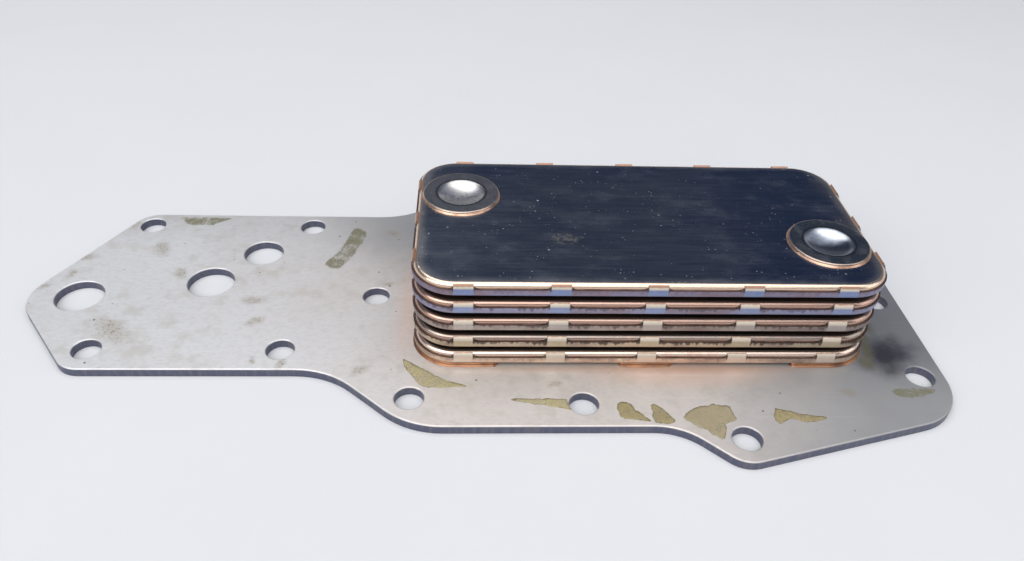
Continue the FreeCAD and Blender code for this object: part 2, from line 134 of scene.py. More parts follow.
class Nodes:
    def __init__(self, owner):
        owner.use_nodes = True
        self.tree = owner.node_tree
        self.tree.nodes.clear()

    def node(self, kind, settings=None, inputs=None, output=0):
        made = self.tree.nodes.new(kind)
        for key, value in (settings or {}).items():
            setattr(made, key, value)
        for key, value in (inputs or {}).items():
            plug(self.tree, made.inputs[key], value)
        return Wire(self.tree, made.outputs[output]) if len(made.outputs) else None

    def fade(self, value, start, end):
        # 0 before start, 1 after end, smooth between; start may be the larger one
        return self.node("ShaderNodeMapRange", {"interpolation_type": "SMOOTHSTEP"},
                         {"Value": value, "From Min": start, "From Max": end})

    def blend(self, below, above, mask):
        return self.node("ShaderNodeMix", {"data_type": "RGBA", "clamp_factor": True},
                         {0: mask, 6: asColour(below), 7: asColour(above)}, 2)


class Finish(Nodes):
    def __init__(self, name):
        self.material = bpy.data.materials.new(name)
        super().__init__(self.material)
        metres = self.node("ShaderNodeTexCoord", output="Object")
        self.place = self.node("ShaderNodeVectorMath", {"operation": "SCALE"}, {0: metres, "Scale": 1 / mm})
        self.x, self.y, self.z = [self.node("ShaderNodeSeparateXYZ", None, {0: self.place}, axis)
                                  for axis in "XYZ"]

    def moved(self, stretch, seed):
        return self.node("ShaderNodeVectorMath", {"operation": "MULTIPLY_ADD"},
                         {0: self.place, 1: stretch, 2: (seed * 17.3, seed * 9.1, seed * 5.7)})

    def grain(self, sizeMm, detail=3.0, stretch=(1, 1, 1), seed=0.0, rough=0.55):
        return self.node("ShaderNodeTexNoise", None,
                         {"Vector": self.moved(stretch, seed), "Scale": 1 / sizeMm, "Detail": detail,
                          "Roughness": rough})

    def cells(self, sizeMm, seed):
        return self.node("ShaderNodeTexVoronoi", None,
                         {"Vector": self.moved((1, 1, 1), seed), "Scale": 1 / sizeMm}, "Distance")

    def blot(self, x, y, length, width, turn=0.0, ragged=0.35, soft=0.4, seed=0.0):
        # a ragged oval on the plate or lid, 1 in its middle
        c, s = math.cos(math.radians(turn)), math.sin(math.radians(turn))
        dx, dy = self.x - x, self.y - y
        u = (dx * c + dy * s) * (2 / length)
        v = (dy * c - dx * s) * (2 / width)
        torn = (self.grain(max(width, 2.0) * 0.5, 4.0, seed=seed) - 0.5) * (2 * ragged)
        return self.fade((u * u + v * v) ** 0.5 + torn, 1.0, 1.0 - soft)

    def inset(self):
        # how far inside the core's rounded outline a point is
        u = abs(self.x - coreMiddle.x) - (coreHalfX - core["corner"])
        v = abs(self.y - coreMiddle.y) - (coreHalfY - core["corner"])
        outside = (u.most(0.0) ** 2.0 + v.most(0.0) ** 2.0) ** 0.5
        return core["corner"] - outside - u.most(v).least(0.0)

    def finish(self, colour, metal, rough, bump=None, bumpDepth=0.02, alpha=1.0):
        inputs = {"Base Color": asColour(colour), "Metallic": metal, "Roughness": rough, "Alpha": alpha}
        if bump is not None:
            inputs["Normal"] = self.node("ShaderNodeBump", None,
                                         {"Height": bump, "Distance": bumpDepth * mm, "Strength": 1.0})
        shader = self.node("ShaderNodeBsdfPrincipled", None, inputs)
        self.node("ShaderNodeOutputMaterial", None, {"Surface": shader})
        return self.material


def dress(piece, material):
    piece.data.materials.clear()
    piece.data.materials.append(material)


def dressNode(node, material):
    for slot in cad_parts[node].material_slots:
        slot.material = material


# Mesh building


def addObject(name, data):
    thing = bpy.data.objects.new(name, data)
    bpy.context.scene.collection.objects.link(thing)
    return thing


def newPiece(name, mesh, material):
    data = bpy.data.meshes.new(name)
    bmesh.ops.recalc_face_normals(mesh, faces=mesh.faces)
    mesh.to_mesh(data)
    mesh.free()
    for face in data.polygons:
        face.use_smooth = True
    piece = addObject(name, data)
    dress(piece, material)
    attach(piece, "root")


def sweep(mesh, stations, closed):
    # stations are loops of points in millimetres; neighbours are joined by quads
    rings = [[mesh.verts.new(point * mm) for point in ring] for ring in stations]
    count = len(rings[0])
    pairs = list(zip(rings, rings[1:]))
    if closed:
        pairs.append((rings[-1], rings[0]))
    for near, far in pairs:
        for i in range(count):
            j = (i + 1) % count
            mesh.faces.new((near[i], near[j], far[j], far[i]))
    if not closed:
        mesh.faces.new(rings[0])
        mesh.faces.new(rings[-1][::-1])


def corePath(step):
    # points round the core's outline as (point, outward direction, side, place along the side)
    corner = core["corner"]
    straightX, straightY = coreHalfX - corner, coreHalfY - corner
    runs = [
        (Vector((-straightX, -coreHalfY, 0)), Vector((1, 0, 0)), 2 * straightX, "long"),
        (Vector((coreHalfX, -straightY, 0)), Vector((0, 1, 0)), 2 * straightY, "end"),
        (Vector((straightX, coreHalfY, 0)), Vector((-1, 0, 0)), 2 * straightX, "long"),
        (Vector((-coreHalfX, straightY, 0)), Vector((0, -1, 0)), 2 * straightY, "end"),
    ]
    middle = Vector((coreMiddle.x, coreMiddle.y, 0))
    path = []
    for start, along, length, side in runs:
        out = Vector((along.y, -along.x, 0))
        count = max(2, int(length / step))
        for i in range(count):
            place = length * i / count
            path.append((middle + start + along * place, out.copy(), side, place - length / 2))
        pivot = middle + start + along * length - out * corner
        turns = max(6, int(corner * math.pi / 2 / step))
        for i in range(turns):
            angle = math.pi / 2 * i / turns
            swung = out * math.cos(angle) + along * math.sin(angle)
            path.append((pivot + swung * corner, swung, "corner", 0.0))
    return path


def openRuns(path, isOpen):
    # the stretches of a closed path that lie between its gaps
    count = len(path)
    begin = next(k for k in range(count) if isOpen[k] and not isOpen[k - 1])
    runs, run = [], []
    for step in range(count + 1):
        k = (begin + step) % count
        if isOpen[k] and step < count:
            run.append(path[k])
        elif run:
            runs.append(run)
            run = []
    return runs


def tabPlaces(side):
    reach = coreHalfX - core["tabMargin"] if side == "long" else coreHalfY - core["endTabMargin"]
    count = core["longTabs"] if side == "long" else core["endTabs"]
    return [reach * (2 * i / (count - 1) - 1) for i in range(count)]


def wander(point, scale, seed=0.0):
    return noise.noise(Vector((point.x, point.y, point.z + seed * 31.7)) / scale)


print("frame read")


# Mounting plate

plateLook = {
    "steel": (0.63, 0.575, 0.53),
    "coolSteel": (0.66, 0.655, 0.65),           # towards the nose
    "tarnish": (0.42, 0.385, 0.32),
    "grain": (0.46, 0.44, 0.42),
    "paintedShade": (0.335, 0.33, 0.325),               # painted shade towards the back and the right end
    # painted shade at the far right end
    "farRightShade": (0.15, 0.155, 0.17),
    # the edge colour is a dark blue-grey painted reflection
    "edge": (0.115, 0.123, 0.175),
    "edgeStreak": (0.20, 0.19, 0.205),
    "metal": 0.35,
    "edgeMetal": 0.4,                           # added on the edge and in the holes
    "rough": 0.40,
    "scratch": (0.9, 0.9, 0.9),
    "scratchStrength": 0.09,
    "speck": (0.06, 0.05, 0.05),
    "sooty": (0.03, 0.03, 0.04),
    "smudge": (136.0, -25.0, 31.0, 24.0, 35.0),  # x, y, length, width, turn
    "streak": (0.13, 0.12, 0.065),
    "streaks": [(135.5, -9.0, 6.0, 17.0, 8.0), (131.5, -20.0, 6.0, 18.0, -10.0),
                (128.5, -28.0, 9.0, 8.0, 0.0)],
    "stain": (0.30, 0.25, 0.17),
    "stains": [(-141.9, 27.6, 12.0), (-149.2, 10.2, 7.0), (-130.5, 48.1, 9.0), (-115.9, 33.6, 15.0),
               (-118.4, -12.9, 24.0), (-75.8, 3.1, 14.0), (-73.5, -8.1, 11.0), (-61.3, -28.6, 8.0),
               (-70.6, -27.7, 6.0), (-31.5, 45.1, 9.0), (-30.9, 12.7, 6.0), (-36.0, -31.5, 12.0),
               (-143.0, 17.0, 10.0), (-105.0, 18.0, 12.0), (118.0, -42.0, 8.0), (25.0, -38.0, 7.0)],
    "copperReflection": (0.80, 0.55, 0.43),                 # painted reflection of the copper core on the plate
    "copperReflections": [(66.0, -33.0, 86.0, 20.0, 0.55), (-23.0, 0.0, 13.0, 72.0, 0.4)],
    "flush": (0.42, 0.25, 0.16),                # painted shade and copper reflection, deeper, right at the core's foot
    "flushes": [(66.0, -31.0, 120.0, 7.0, 0.55), (18.0, -31.0, 60.0, 5.0, 0.35)],
}


def makePlateSteel():
    f = Finish("plateSteel")
    look = plateLook
    cloud = f.grain(38.0, 4.0, seed=1)
    mottle = f.grain(7.0, 5.0, seed=2)
    fine = f.grain(0.9, 4.0, stretch=(0.5, 1.0, 1.0), seed=6)
    # clean steel, cooler towards the nose
    colour = f.blend(look["steel"], look["coolSteel"], f.fade(f.x + (cloud - 0.5) * 120, 10.0, -110.0))
    tarnish = f.fade(mottle + (cloud - 0.5) * 0.5, 0.48, 0.74)
    colour = f.blend(colour, look["tarnish"], tarnish * 0.42)
    colour = f.blend(colour, look["grain"], f.fade(fine, 0.42, 0.75) * 0.34)
    # painted shade towards the back and the right, darker painted shade at the far right
    behind = f.fade(f.y + (cloud - 0.5) * 30 + f.x * 0.22, 0.0, 48.0)
    shadeBack = behind * (0.3 + 0.7 * f.fade(f.x, -80.0, -25.0))
    shadeRight = f.fade(f.x + (cloud - 0.5) * 40, 60.0, 122.0)
    colour = f.blend(colour, look["paintedShade"], shadeBack.most(shadeRight))
    farRight = f.fade(f.x + (cloud - 0.5) * 16, 114.0, 138.0)
    farRightShade = farRight * f.fade(f.y + (mottle - 0.5) * 14, -48.0, -18.0)
    colour = f.blend(colour, look["farRightShade"], farRightShade * 0.75)
    # painted reflection of the copper core
    for i, (x, y, length, width, strength) in enumerate(look["copperReflections"]):
        copperReflection = f.blot(x, y, length, width, soft=0.95, ragged=0.1, seed=3 + i)
        colour = f.blend(colour, look["copperReflection"], copperReflection * strength)
    # painted shade and copper reflection at the core's foot
    for i, (x, y, length, width, strength) in enumerate(look["flushes"]):
        flush = f.blot(x, y, length, width, soft=0.9, ragged=0.15, seed=13 + i)
        colour = f.blend(colour, look["flush"], flush * strength)
    # soot, streaks and stains
    x, y, length, width, turn = look["smudge"]
    smudge = f.blot(x, y, length, width, turn, soft=0.85, ragged=0.6, seed=4)
    colour = f.blend(colour, look["sooty"], smudge)
    for i, (x, y, length, width, turn) in enumerate(look["streaks"]):
        streak = f.blot(x, y, length, width, turn, soft=0.8, ragged=0.7, seed=5 + i)
        colour = f.blend(colour, look["streak"], streak * 0.7)
    dots = f.fade(f.grain(1.1, 5.0, seed=7, rough=0.7), 0.50, 0.62)
    for i, (x, y, spread) in enumerate(look["stains"]):
        stain = f.blot(x, y, spread, spread * 0.55, turn=37 * i, ragged=0.6, soft=0.95, seed=9 + i)
        colour = f.blend(colour, look["stain"], stain * 0.4 + stain * dots * 0.6)
    specks = f.fade(f.cells(6.5, seed=3), 0.075, 0.05)
    colour = f.blend(colour, look["speck"], specks * f.fade(f.grain(30.0, seed=8), 0.45, 0.55) * 0.8)
    scratch = f.fade(f.grain(1.3, 2.0, stretch=(0.03, 1.0, 1.0), seed=6), 0.66, 0.72)
    colour = f.blend(colour, look["scratch"], scratch * look["scratchStrength"])
    # the blanked edge, below the flat top, in a dark blue-grey painted reflection with sheared streaks
    flat = f.fade(f.z, plateTop - 0.5, plateTop - 0.05)
    sheared = f.grain(1.4, 4.0, stretch=(1.0, 1.0, 0.25), seed=11)
    side = f.blend(look["edge"], look["edgeStreak"], f.fade(sheared, 0.42, 0.68) * 0.5)
    colour = f.blend(side, colour, flat)
    rough = look["rough"] + (mottle - 0.5) * 0.2 + smudge * 0.2
    metal = look["metal"] + (1 - flat) * look["edgeMetal"]
    return f.finish(colour, metal, rough, bump=f.grain(1.2, 3.0, seed=12))


dressNode("mounting_plate", makePlateSteel())
print("plate finished")


# Dishes and lids

elementLook = {
    # from the lowest element up
    # wall and clear colours are painted reflections, beige low down and blue higher up
    "wallReflections": [(0.74, 0.57, 0.44), (0.53, 0.43, 0.32), (0.38, 0.32, 0.29), (0.31, 0.31, 0.44),
              (0.27, 0.24, 0.33)],
    "clear": [(0.74, 0.63, 0.53), (0.54, 0.45, 0.32), (0.50, 0.45, 0.42), (0.29, 0.35, 0.54),
              (0.23, 0.30, 0.50)],
    # painted highlight on each element's rounded shoulder
    "shoulderHighlights": [(0.82, 0.65, 0.54), (0.34, 0.28, 0.24), (0.46, 0.31, 0.245), (0.50, 0.33, 0.26),
                  (0.80, 0.62, 0.47)],
    "stain": [0.25, 0.85, 0.6, 0.5, 0.15],       # how dark the marks under each braze line are
    "tabCopper": [3.85, 3.85, 3.8, 3.75, 3.35],  # height where each tab's copper end starts
    "heat": (0.25, 0.17, 0.17),
    "blush": (0.62, 0.36, 0.26),
    "copper": (0.40, 0.24, 0.17),
    # soot, also used as painted shade inside and under the dishes
    "sootAndShade": (0.07, 0.05, 0.045),
    # painted highlight on the curl of each tab
    "tabHighlight": (0.66, 0.58, 0.48),
    "metal": 0.85,
    "hidden": [(0.07, 0.055, 0.05), (0.16, 0.10, 0.07)],   # painted shade for the lids below the top one, seen only in the gaps
}

lidLook = {
    # dark steel with a painted blue reflection tint
    "steel": (0.13, 0.15, 0.20),
    "deep": (0.05, 0.082, 0.165),                # painted dark blue reflection towards the right and the back
    "haze": (0.30, 0.32, 0.34),
    "edgeHaze": (0.42, 0.40, 0.37),
    "endHaze": (0.40, 0.35, 0.29),
    "rough": 0.25,
    "metal": 0.92,
    "smudge": (28.6, -5.6, 14.0, 9.0),           # x, y, length, width
    "grime": (0.55, 0.49, 0.40),
    "dust": (0.75, 0.75, 0.72),
}


def tabMask(f, soft=0.25, wider=0.0):
    reach = core["tabWidth"] / 2 + wider
    nearTab = None
    for side, value in (("long", f.x - coreMiddle.x), ("end", f.y - coreMiddle.y)):
        places = tabPlaces(side)
        pitch = places[1] - places[0]
        dist = f.node("ShaderNodeMath", {"operation": "PINGPONG"}, {0: abs(value), 1: pitch / 2})
        mask = f.fade(dist, reach + soft, reach - soft)
        half = places[-1] + pitch / 2
        mask = mask * f.fade(abs(value), half, half - 1.0)
        nearTab = mask if nearTab is None else nearTab.most(mask)
    return nearTab


def makeDishSteel(i):
    f = Finish(f"dishSteel{i + 1}")
    look = elementLook
    rise = f.z - dishBase[i]
    cloud = f.grain(16.0, 4.0, stretch=(1, 1, 2), seed=20 + i)
    streaky = f.grain(1.2, 4.0, stretch=(1, 1, 0.22), seed=30 + i)
    tab = tabMask(f)
    # painted reflection colours with heat tint, clearer on the tabs and near the foot
    colour = f.blend(look["wallReflections"][i], look["heat"], f.fade(cloud, 0.44, 0.68) * 0.55)
    colour = f.blend(colour, look["clear"][i], f.fade(rise + (cloud - 0.5) * 2.0, 1.1, 0.2) * 0.6)
    colour = f.blend(colour, look["clear"][i], tab * 0.85)
    purple = f.fade(f.grain(5.0, 5.0, stretch=(1, 1, 0.6), seed=45 + i, rough=0.7), 0.48, 0.66)
    colour = f.blend(colour, look["heat"], purple * (1 - tab) * 0.4)
    # dark beside the tabs, and soot in drips below the braze
    beside = tabMask(f, 0.15, 0.35) * (1 - tabMask(f, 0.15)) * f.fade(rise, 1.4, 2.4)
    colour = f.blend(colour, look["sootAndShade"], beside * 0.7)
    patchy = f.grain(9.0, 3.0, seed=40 + i)
    drip = f.fade(rise + (streaky - 0.5) * 5.0 + (patchy - 0.5) * 3.0, 1.5, 2.3)
    colour = f.blend(colour, look["sootAndShade"], drip * (1 - tab) * look["stain"][i])
    # painted highlight on the curl of each tab
    colour = f.blend(colour, look["tabHighlight"], tab * f.fade(rise, 2.4, 3.1))
    copperFrom = look["tabCopper"][i]
    curl = f.fade(rise + (streaky - 0.5) * 0.6, copperFrom, copperFrom + 0.3)
    colour = f.blend(colour, look["copper"], curl)
    colour = f.blend(colour, look["sootAndShade"], f.fade(rise, 2.3, 2.4) * (1 - tab) * 0.8)
    # painted shade on the dish's inside and underside, in from its outline and below the rim
    under = f.fade(f.inset(), 0.7, 1.4)
    colour = f.blend(colour, look["sootAndShade"], under * f.fade(rise, 2.4, 2.0))
    rough = 0.32 + streaky * 0.14 + drip * 0.2
    return f.finish(colour, look["metal"], rough, bump=f.grain(0.9, 3.0, seed=50 + i), bumpDepth=0.015)


def makeLidSteel(i):
    f = Finish(f"lidSteel{i + 1}")
    look = elementLook
    rise = f.z - dishBase[i]
    inset = f.inset()
    cloud = f.grain(22.0, 5.0, seed=60 + i)
    if i < elementCount - 1:
        # lids below the top one are painted dark, as painted shade in the gaps
        colour = f.blend(*look["hidden"], f.fade(cloud, 0.4, 0.7))
        rough = 0.4 + 0.1 * cloud
    else:
        colour, rough = makeTopLid(f, inset, cloud)
    shoulder = f.fade(inset, 2.1, 1.95)
    # painted highlight on each element's rounded shoulder
    colour = f.blend(colour, look["shoulderHighlights"][i], shoulder)
    colour = f.blend(colour, look["blush"], shoulder * f.fade(rise, 3.5, 2.6) * 0.4)
    worn = f.fade(f.grain(5.0, 4.0, seed=66 + i), 0.5, 0.72)
    colour = f.blend(colour, look["blush"], shoulder * worn * 0.4)
    colour = f.blend(colour, look["sootAndShade"], f.fade(rise, 2.75, 2.5) * f.fade(inset, 1.6, 1.3) * 0.8)
    rough = rough * (1 - shoulder) + shoulder * 0.24
    brushed = f.grain(0.8, 2.0, stretch=(0.05, 1, 1), seed=70)
    return f.finish(colour, lidLook["metal"], rough, bump=brushed, bumpDepth=0.006)


def makeTopLid(f, inset, cloud):
    look = lidLook
    lines = f.grain(0.5, 3.0, stretch=(0.03, 1.0, 1.0), seed=61)
    wear = f.grain(9.0, 6.0, stretch=(0.6, 1.0, 1.0), seed=62, rough=0.65)
    blotch = f.grain(34.0, 3.0, seed=67)
    # painted dark blue reflection towards the right and the back
    reflectionRight = f.fade(f.x + (blotch - 0.5) * 50, 60.0, 105.0)
    reflectionBack = f.fade(f.y + (blotch - 0.5) * 40, 26.0, 50.0)
    deep = reflectionRight.most(reflectionBack)
    colour = f.blend(look["steel"], look["deep"], deep * 0.85)
    # hazy wear, along the drawing lines and towards the left and the edges
    colour = f.blend(colour, look["haze"], f.fade(wear + (blotch - 0.5) * 0.5, 0.46, 0.74) * 0.5)
    colour = f.blend(colour, look["haze"], f.fade(lines, 0.42, 0.75) * (0.55 - 0.25 * deep))
    haze = f.fade(f.x + (cloud - 0.5) * 60, 22.0, -22.0)
    colour = f.blend(colour, look["haze"], haze * 0.22)
    edgeHaze = f.fade(inset + (cloud - 0.5) * 6, 5.0, 1.5)
    colour = f.blend(colour, look["edgeHaze"], edgeHaze * 0.4)
    endHaze = f.fade(f.x + (cloud - 0.5) * 14, 120.0, 129.0)
    colour = f.blend(colour, look["endHaze"], endHaze * 0.5)
    x, y, length, width = look["smudge"]
    smudge = f.blot(x, y, length, width, turn=10, ragged=0.7, soft=0.8, seed=63)
    colour = f.blend(colour, look["grime"], smudge * f.fade(f.grain(1.5, 4.0, seed=64), 0.42, 0.6) * 0.9)
    specks = f.fade(f.cells(1.9, seed=7), 0.18, 0.07) * f.fade(f.grain(6.0, 3.0, seed=65), 0.44, 0.62)
    flecks = f.fade(f.cells(6.0, seed=9), 0.085, 0.03) * f.fade(f.grain(9.0, 2.0, seed=68), 0.38, 0.60)
    dust = (specks * 0.6).most(flecks)
    colour = f.blend(colour, look["dust"], dust)
    rough = look["rough"] + haze * 0.04 + edgeHaze * 0.12 + (wear - 0.5) * 0.2 + dust * 0.3
    return colour, rough


for i in range(elementCount):
    dressNode(f"lower_dish_{i + 1}", makeDishSteel(i))
    dressNode(f"upper_lid_{i + 1}", makeLidSteel(i))
print("dishes and lids finished")


# Copper, and the hidden steel inside

copperLook = {
    "bead": {"colour": (0.21, 0.12, 0.09), "dark": (0.065, 0.04, 0.03), "rough": 0.36},
    "bright": {"colour": (0.62, 0.38, 0.26), "dark": (0.30, 0.17, 0.11), "rough": 0.28},
    "deep": {"colour": (0.33, 0.16, 0.085), "dark": (0.13, 0.065, 0.04), "rough": 0.4},
    "metal": 0.9,
}

innerLook = {
    "spacer": [(0.22, 0.17, 0.14), (0.40, 0.24, 0.15)],
    "fin": [(0.40, 0.37, 0.35), (0.50, 0.30, 0.2)],
}


def makeCopper(kind, seed):
    f = Finish(f"copper{kind.capitalize()}")
    look = copperLook[kind]
    cloud = f.grain(5.0, 5.0, seed=seed)
    fine = f.grain(1.1, 3.0, seed=seed + 1)
    light = [min(1.0, c * 1.5) for c in look["colour"]]
    colour = f.blend(look["colour"], look["dark"], f.fade(cloud, 0.42, 0.68) * 0.8)
    colour = f.blend(colour, light, f.fade(fine, 0.6, 0.8) * 0.5)
    rough = look["rough"] + (cloud - 0.5) * 0.2
    return f.finish(colour, copperLook["metal"], rough, bump=fine, bumpDepth=0.03)


def makeSpacerSteel():
    f = Finish("spacerSteel")
    cloud = f.grain(6.0, 4.0, seed=80)
    colour = f.blend(*innerLook["spacer"], f.fade(cloud, 0.4, 0.65))
    return f.finish(colour, 0.85, 0.4 + (cloud - 0.5) * 0.2)


def makeFinSteel():
    f = Finish("finSteel")
    cloud = f.grain(8.0, 4.0, seed=82)
    colour = f.blend(*innerLook["fin"], f.fade(cloud, 0.45, 0.7))
    return f.finish(colour, 0.9, 0.35 + (cloud - 0.5) * 0.15)


copperBead = makeCopper("bead", 110)
copperBright = makeCopper("bright", 112)
copperDeep = makeCopper("deep", 114)
dressNode("base_shim", copperDeep)
spacerSteel = makeSpacerSteel()
finSteel = makeFinSteel()
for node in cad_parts:
    if node.startswith("port_spacer"):
        dressNode(node, spacerSteel)
    if node.startswith("turbulator"):
        dressNode(node, finSteel)
print("copper and inner steel finished")


# Port caps

capLook = {
    "face": {"left": (0.31, 0.30, 0.29), "right": (0.10, 0.125, 0.15)},
    "worn": (0.42, 0.41, 0.39),
    "wear": {"left": 0.9, "right": 0.25},
    # painted highlight filling each bowl
    "bowl": {"left": (0.80, 0.78, 0.75), "right": (0.80, 0.84, 0.90)},
    # painted shade at a bowl's front, also the colour of its pits
    "bowlShadeAndPits": {"left": (0.17, 0.17, 0.16), "right": (0.045, 0.06, 0.09)},
    "bowlShade": {"left": 0.6, "right": 0.93},
    "bowlLit": {"left": (1.0, -5.0), "right": (3.6, -0.6)},     # where the painted highlight at a bowl's back gives way to painted shade
    "bowlRadius": 8.0,
    "lip": (0.05, 0.05, 0.06),
    "rim": (0.50, 0.38, 0.30),
    "rimFrom": (12.35, 12.6),
    "metal": 0.92,
    "rough": 0.26,
    "ringInside": 12.9,          # copper fillet round each cap
    "ringHeight": 0.5,
    "ringSpread": {"left": 0.34, "right": 0.42},
    "ringDraw": {"left": 3.0, "right": 8.0},     # which uneven outline each ring gets
    "ringTurns": 160,
}


def capMiddle(side):
    low, high = edges(f"port_cap_{side}")
    return (low + high) / 2


def makeCapSteel(side):
    f = Finish(f"capSteel{side.capitalize()}")
    look = capLook
    middle = capMiddle(side)
    radius = look["bowlRadius"]
    wear = look["wear"][side]
    away = ((f.x - middle.x) ** 2.0 + (f.y - middle.y) ** 2.0) ** 0.5
    behind = f.y - middle.y
    cloud = f.grain(5.0, 5.0, seed=90)
    fine = f.grain(0.7, 4.0, seed=91)
    turned = f.grain(0.35, 2.0, seed=92)
    colour = f.blend(look["face"][side], look["worn"], f.fade(cloud, 0.45, 0.7) * 0.5)
    rings = f.node("ShaderNodeTexNoise", {"noise_dimensions": "1D"},
                   {"W": away * 2.2, "Scale": 1.0, "Detail": 4.0})
    colour = f.blend(colour, look["worn"], f.fade(rings, 0.45, 0.7) * wear * 0.7)
    colour = f.blend(colour, look["worn"], f.fade(fine, 0.40, 0.70) * wear)
    # the bowl, with a painted highlight at its back and painted shade at its front
    bowl = f.fade(away, radius + 0.3, radius - 1.8)
    colour = f.blend(colour, look["bowl"][side], bowl)
    top, foot = look["bowlLit"][side]
    frontShade = f.fade(behind + (cloud - 0.5) * 5, top, foot).most(f.fade(fine, 0.5, 0.7) * 0.4)
    colour = f.blend(colour, look["bowlShadeAndPits"][side], bowl * frontShade * look["bowlShade"][side])
    pitted = f.fade(f.grain(1.3, 5.0, seed=93, rough=0.7), 0.46, 0.60) * f.fade(behind, 3.5, -1.0)
    colour = f.blend(colour, look["bowlShadeAndPits"][side], bowl * pitted * wear * 0.6)
    lip = f.fade(abs(away - radius - 0.5), 0.5, 0.15)
    colour = f.blend(colour, look["lip"], lip * 0.7)
    groove = f.fade(abs(away - radius - 2.2), 0.35, 0.1)
    colour = f.blend(colour, look["worn"], groove * f.fade(cloud, 0.35, 0.6) * wear * 0.7)
    colour = f.blend(colour, look["rim"], f.fade(away, *look["rimFrom"]) * 0.8)
    rough = look["rough"] + (cloud - 0.5) * 0.15 + bowl * 0.06
    return f.finish(colour, look["metal"], rough, bump=turned, bumpDepth=0.004)


def makeCapRing(side):
    look = capLook
    middle = capMiddle(side)
    mesh = bmesh.new()
    stations = []
    for i in range(look["ringTurns"]):
        angle = 2 * math.pi * i / look["ringTurns"]
        out = Vector((math.cos(angle), math.sin(angle), 0))
        drawn = noise.noise(Vector((out.x * 1.6, out.y * 1.6, look["ringDraw"][side])))
        # wider towards the front and the left, where the copper ran
        swell = 1.0 + 0.45 * drawn + 0.25 * max(0.0, -out.y) + 0.15 * max(0.0, -out.x)
        reach = look["ringSpread"][side] * swell
        height = look["ringHeight"] * (1.0 + 0.25 * drawn)
        profile = [(-0.35, 0.0), (-0.35, height), (0.10, height), (0.10 + reach * 0.22, height * 0.48),
                   (0.10 + reach * 0.5, height * 0.2), (0.10 + reach, 0.03), (0.10 + reach, -0.02),
                   (0, -0.02)]
        foot = Vector((middle.x, middle.y, lidTop))
        stations.append([foot + out * (look["ringInside"] + away) + Vector((0, 0, up))
                         for away, up in profile])
    sweep(mesh, stations, True)
    newPiece(f"braze_ring_{side}", mesh, copperBright)


for side in ("left", "right"):
    dressNode(f"port_cap_{side}", makeCapSteel(side))
    makeCapRing(side)
print("port caps finished")


# Braze lines round the elements, and the copper at the core's foot

brazeLook = {
    "beadRadius": 0.17,
    "beadUneven": 0.28,
    "beadInset": 0.12,           # bead's middle, outward from the rim's inner face
    "beadLift": 0.08,            # and above the rim
    "baseReach": (0.12, 0.25),   # run-out near an open end, and added further in
    "baseUneven": 0.5,
}


def beadRing(point, out, inset, z, radius, count=8):
    up = Vector((0, 0, 1))
    middle = point - out * inset + up * z
    turns = [2 * math.pi * k / count for k in range(count)]
    return [middle + (out * math.cos(turn) + up * math.sin(turn)) * radius for turn in turns]


def easeIn(n, count, first, over):
    # grows from each open end of a run of count stations to 1
    return min(1.0, (min(n, count - 1 - n) + first) / over)


def makeBrazeLine(i):
    # a copper bead on the dish's rim, broken at each tab
    look = brazeLook
    gap = core["tabWidth"] / 2 + core["tabFoot"] * 0.75
    path = corePath(0.8)
    places = {side: tabPlaces(side) for side in ("long", "end")}
    isOpen = [side == "corner" or all(abs(along - place) > gap for place in places[side])
              for point, out, side, along in path]
    mesh = bmesh.new()
    z = dishBase[i] + core["rimHeight"] + look["beadLift"]
    for run in openRuns(path, isOpen):
        rings = []
        for n, (point, out, side, along) in enumerate(run):
            ease = easeIn(n, len(run), 0.6, 2.5)
            uneven = 1 + look["beadUneven"] * wander(point, 3.0, i)
            radius = look["beadRadius"] * (0.55 + 0.45 * ease) * uneven
            height = z + 0.05 * wander(point, 6.0, i + 9)
            rings.append(beadRing(point, out, core["sheet"] - look["beadInset"], height, radius))
        sweep(mesh, rings, False)
    newPiece(f"braze_line_{i + 1}", mesh, copperBead)


def makeBaseBraze():
    # copper run out from under the shim on to the plate, open along the shim's bays
    bayFrom, bayTo = core["middlePad"] / 2, coreHalfX - core["endPad"]
    path = corePath(1.0)
    isOpen = [side != "long" or not bayFrom < abs(along) < bayTo for point, out, side, along in path]
    least, more = brazeLook["baseReach"]
    mesh = bmesh.new()
    for run in openRuns(path, isOpen):
        rings = []
        for n, (point, out, side, along) in enumerate(run):
            ease = easeIn(n, len(run), 0.4, 3.0)
            reach = (least + more * ease) * (1 + brazeLook["baseUneven"] * wander(point, 7.0, 2))
            profile = [(-0.9, -0.02), (-0.9, 1.15), (-0.38, 1.15), (-0.30, 0.50),
                       (-0.16 + reach * 0.3, 0.16), (reach, 0.03), (reach, -0.02)]
            rings.append([point + out * away + Vector((0, 0, plateTop + up)) for away, up in profile])
        sweep(mesh, rings, False)
    newPiece("braze_base", mesh, copperDeep)


for i in range(elementCount):
    makeBrazeLine(i)
makeBaseBraze()
print("braze finished")


# Dried sealant left on the plate

